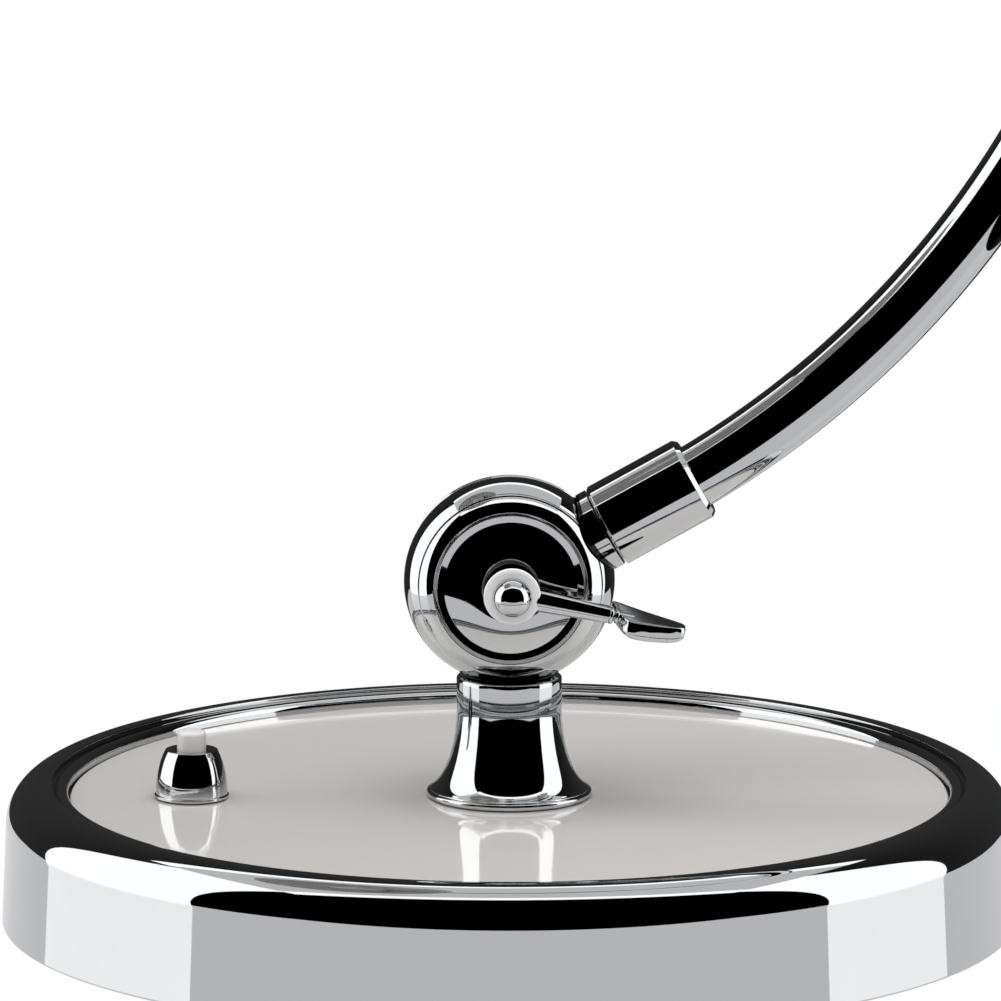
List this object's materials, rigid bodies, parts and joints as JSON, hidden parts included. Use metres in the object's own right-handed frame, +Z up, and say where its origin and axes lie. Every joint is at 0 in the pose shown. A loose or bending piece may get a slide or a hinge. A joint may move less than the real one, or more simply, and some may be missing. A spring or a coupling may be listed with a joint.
{
  "type": "desk lamp",
  "caption": "Chromed desk lamp with a weighted round base, push switch, clamp-lever joints, curved tubular arm and a plain dome shade.",
  "frame": {"origin": "middle of the foot pad's lower face, on the table", "axes": "+Z up, +X the side the arm bends out to, -Y the side the clamp levers and the viewer are on"},
  "size_m": [0.3131, 0.2001, 0.4481],
  "materials": {
    "chrome": "polished",
    "dark_nickel": "polished dark",
    "enamel": "gloss",
    "button_plastic": "satin",
    "cast_iron": "as cast",
    "zinc_steel": "zinc plated",
    "brass": "turned",
    "black_plastic": "moulded",
    "felt": "felt",
    "fibre": "vulcanised fibre",
    "lead_cover": "matt",
    "bulb_glass": "opal"
  },
  "bodies": {
    "base": {"foot_pad": "felt", "bottom_cover": "zinc_steel", "ballast_weight": "cast_iron", "base_ring": "chrome", "enamel_plate": "enamel", "cable_bush": "black_plastic", "threaded_nipple": "brass", "nipple_washer": "zinc_steel", "nipple_nut": "brass", "cover_screw_1": "zinc_steel", "cover_screw_2": "zinc_steel", "cover_screw_3": "zinc_steel", "terminal_block": "black_plastic", "terminal_screw_1": "brass", "terminal_screw_2": "brass", "switch_lead": "lead_cover", "stem_lead": "lead_cover", "switch_thimble": "chrome", "switch_body": "black_plastic", "switch_nut": "brass", "switch_spring": "zinc_steel", "stem": "chrome", "lower_rear_half": "chrome", "lower_friction_washer": "fibre", "lower_spring_washer": "zinc_steel", "lower_bolt": "chrome"},
    "button": {"switch_button": "button_plastic"},
    "lower_lever": {"lower_clamp_lever": "chrome", "lower_dome_nut": "chrome"},
    "arm": {"lower_front_half": "chrome", "arm_collar": "dark_nickel", "arm_sleeve": "chrome", "arm_tube": "chrome", "arm_lead": "lead_cover", "upper_collar": "dark_nickel", "upper_sleeve": "chrome", "upper_rear_half": "chrome", "upper_friction_washer": "fibre", "upper_spring_washer": "zinc_steel", "upper_bolt": "chrome"},
    "upper_lever": {"upper_clamp_lever": "chrome", "upper_dome_nut": "chrome"},
    "head": {"upper_front_half": "chrome", "head_neck": "chrome", "shade_cap": "chrome", "shade": "chrome", "lampholder": "black_plastic", "shade_ring": "black_plastic", "bulb_glass": "bulb_glass", "bulb_cap": "brass"}
  },
  "joints": [
    {"name": "arm_tilt", "type": "hinge", "parent": "base", "child": "arm", "pos_m": [0, 0, 0.0686], "axis": [0, 1, 0], "range_deg": [-35, 40]},
    {"name": "lower_lever_turn", "type": "hinge", "parent": "base", "child": "lower_lever", "pos_m": [0, 0, 0.0686], "axis": [0, 1, 0], "range_deg": [-90, 25]},
    {"name": "button_press", "type": "slide", "parent": "base", "child": "button", "axis": [0, 0, -1], "range_m": [0, 0.0024], "stiffness_N_per_m": 800, "springref_m": -0.001, "deforming": ["switch_spring"]},
    {"name": "head_tilt", "type": "hinge", "parent": "arm", "child": "head", "pos_m": [-0.10658, 0, 0.43171], "axis": [0, 1, 0], "range_deg": [-38, 60]},
    {"name": "upper_lever_turn", "type": "hinge", "parent": "arm", "child": "upper_lever", "pos_m": [-0.10658, 0, 0.43171], "axis": [0, 1, 0], "range_deg": [-90, 15]}
  ]
}
